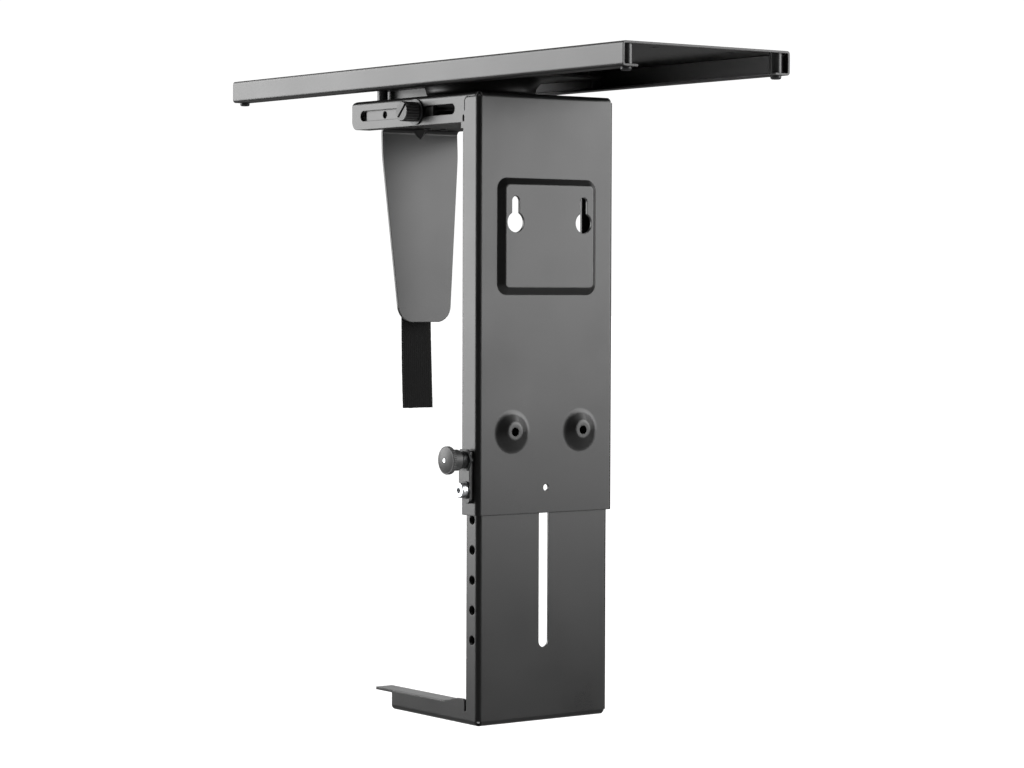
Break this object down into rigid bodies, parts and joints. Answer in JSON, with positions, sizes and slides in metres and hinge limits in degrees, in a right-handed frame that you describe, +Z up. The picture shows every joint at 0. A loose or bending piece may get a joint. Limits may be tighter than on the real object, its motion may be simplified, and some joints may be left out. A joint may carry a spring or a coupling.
{
  "type": "under-desk cpu holder",
  "caption": "Under-desk computer holder: sliding, swivelling track mount with a height-adjustable L bracket, side clamp and strap.",
  "frame": {"origin": "centre of the track's top face, where it meets the underside of the desk", "axes": "+Z up into the desk; +Y along the track towards the side clamp; X across the track, the latch on -X"},
  "size_m": [0.146, 0.46, 0.441],
  "materials": {
    "black_powder_coat": "satin fine-texture powder coat",
    "black_steel": "black oxide, semi-matt",
    "black_plastic": "satin",
    "black_rubber": "matt",
    "nylon": "semi-matt",
    "zinc": "bright zinc plate",
    "woven_strap": "woven hook-and-loop tape"
  },
  "bodies": {
    "track": {"track": "black_powder_coat", "end_stop_screws": "black_steel", "end_stop_sleeves": "black_rubber"},
    "carriage": {"carriage_plate": "black_powder_coat", "carriage_glides": "nylon"},
    "upper": {"upper_bracket": "black_powder_coat", "swivel_washer": "nylon", "swivel_bolt": "zinc", "swivel_bolt_washer": "zinc", "swivel_nut": "zinc", "latch_block": "black_powder_coat", "plunger_housing": "black_steel", "plunger_nut": "black_steel", "plunger_spring": "zinc", "lock_washer": "black_steel", "lock_spring_washer": "zinc"},
    "lock_screw": {"lock_screw": "zinc"},
    "lower": {"lower_bracket": "black_powder_coat"},
    "pull_pin": {"plunger_pin": "zinc", "plunger_knob": "black_plastic"},
    "clamp": {"clamp_bracket": "black_powder_coat", "thumb_washer_left": "black_steel", "thumb_nut_left": "zinc", "thumb_washer_right": "black_steel", "thumb_nut_right": "zinc", "strap": "woven_strap", "strap_rivets": "black_steel"},
    "thumb_left": {"thumb_screw_left": "black_plastic"},
    "thumb_right": {"thumb_screw_right": "black_plastic"}
  },
  "joints": [
    {"name": "carriage_slide", "type": "slide", "parent": "track", "child": "carriage", "axis": [0, 1, 0], "range_m": [-0.17, 0.146]},
    {"name": "swivel_turn", "type": "hinge", "parent": "carriage", "child": "upper", "pos_m": [0, 0.012, -0.02], "axis": [0, 0, 1], "continuous": true},
    {"name": "height_slide", "type": "slide", "parent": "upper", "child": "lower", "axis": [0, 0, 1], "range_m": [-0.08, 0.1]},
    {"name": "pull_pin_slide", "type": "slide", "parent": "upper", "child": "pull_pin", "axis": [1, 0, 0], "range_m": [0, 0.005]},
    {"name": "lock_screw_turn", "type": "hinge", "parent": "upper", "child": "lock_screw", "pos_m": [-0.06, -0.0555, -0.284], "axis": [1, 0, 0], "continuous": true},
    {"name": "clamp_slide", "type": "slide", "parent": "upper", "child": "clamp", "axis": [0, 1, 0], "range_m": [-0.038, 0.064]},
    {"name": "thumb_left_turn", "type": "hinge", "parent": "clamp", "child": "thumb_left", "pos_m": [-0.06, 0.0079, -0.032], "axis": [1, 0, 0], "continuous": true},
    {"name": "thumb_right_turn", "type": "hinge", "parent": "clamp", "child": "thumb_right", "pos_m": [0.06, 0.0079, -0.032], "axis": [1, 0, 0], "continuous": true}
  ]
}
